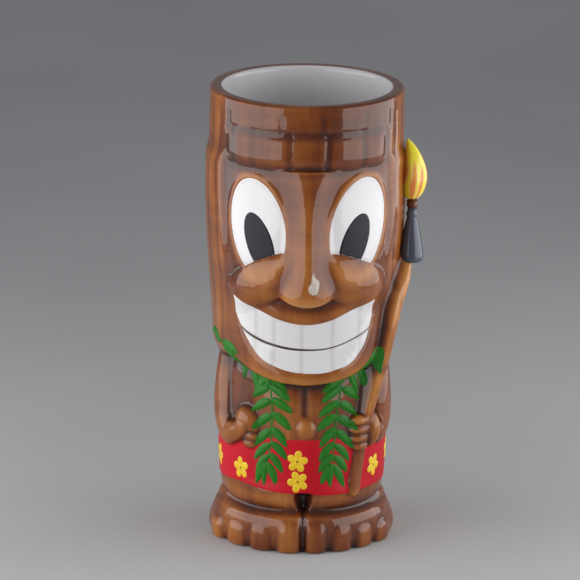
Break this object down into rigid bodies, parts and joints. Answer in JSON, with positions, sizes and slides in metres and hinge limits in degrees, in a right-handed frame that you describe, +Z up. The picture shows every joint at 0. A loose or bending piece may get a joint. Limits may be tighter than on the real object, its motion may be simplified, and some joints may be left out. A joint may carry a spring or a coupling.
{
  "type": "tiki mug",
  "caption": "Tall glazed ceramic cup shaped as a grinning carved figure with a torch, leaf garland and flowered sarong.",
  "frame": {"origin": "centre of the flat underside, on the mug's axis", "axes": "+Z up along the mug's axis, the face looks along -Y, the torch is on the +X side"},
  "size_m": [0.0849, 0.0843, 0.18],
  "materials": {
    "brown_glaze": "glossy translucent honey-brown glaze, dark where it pools in the carved lines",
    "white_glaze": "glossy white glaze",
    "black_enamel": "glossy black enamel",
    "green_enamel": "semi-gloss leaf-green enamel",
    "red_enamel": "semi-gloss red enamel",
    "yellow_enamel": "semi-gloss yellow enamel",
    "flame_enamel": "glossy yellow enamel brushed with orange strokes"
  },
  "bodies": {
    "root": {"mug_shell": "brown_glaze", "interior_glaze": "white_glaze", "headband": "brown_glaze", "nose": "brown_glaze", "jaw": "brown_glaze", "upper_teeth": "white_glaze", "lower_teeth": "white_glaze", "belly_knot": "brown_glaze", "left_hand": "brown_glaze", "right_hand": "brown_glaze", "torch_pole": "brown_glaze", "torch_canister": "black_enamel", "torch_wick": "brown_glaze", "torch_flame": "flame_enamel", "sarong": "red_enamel", "left_eye_white": "white_glaze", "left_pupil": "black_enamel", "left_cheek": "brown_glaze", "left_arm": "brown_glaze", "left_foot": "brown_glaze", "lei_collar_left": "green_enamel", "lei_strand_left": "green_enamel", "right_eye_white": "white_glaze", "right_pupil": "black_enamel", "right_cheek": "brown_glaze", "right_arm": "brown_glaze", "right_foot": "brown_glaze", "lei_collar_right": "green_enamel", "lei_strand_right": "green_enamel", "sarong_flower_1": "yellow_enamel", "sarong_flower_2": "yellow_enamel", "sarong_flower_3": "yellow_enamel", "sarong_flower_4": "yellow_enamel", "sarong_flower_5": "yellow_enamel", "sarong_flower_6": "yellow_enamel", "sarong_flower_7": "yellow_enamel", "sarong_flower_8": "yellow_enamel", "sarong_flower_9": "yellow_enamel", "sarong_flower_10": "yellow_enamel", "sarong_flower_11": "yellow_enamel"}
  },
  "joints": []
}
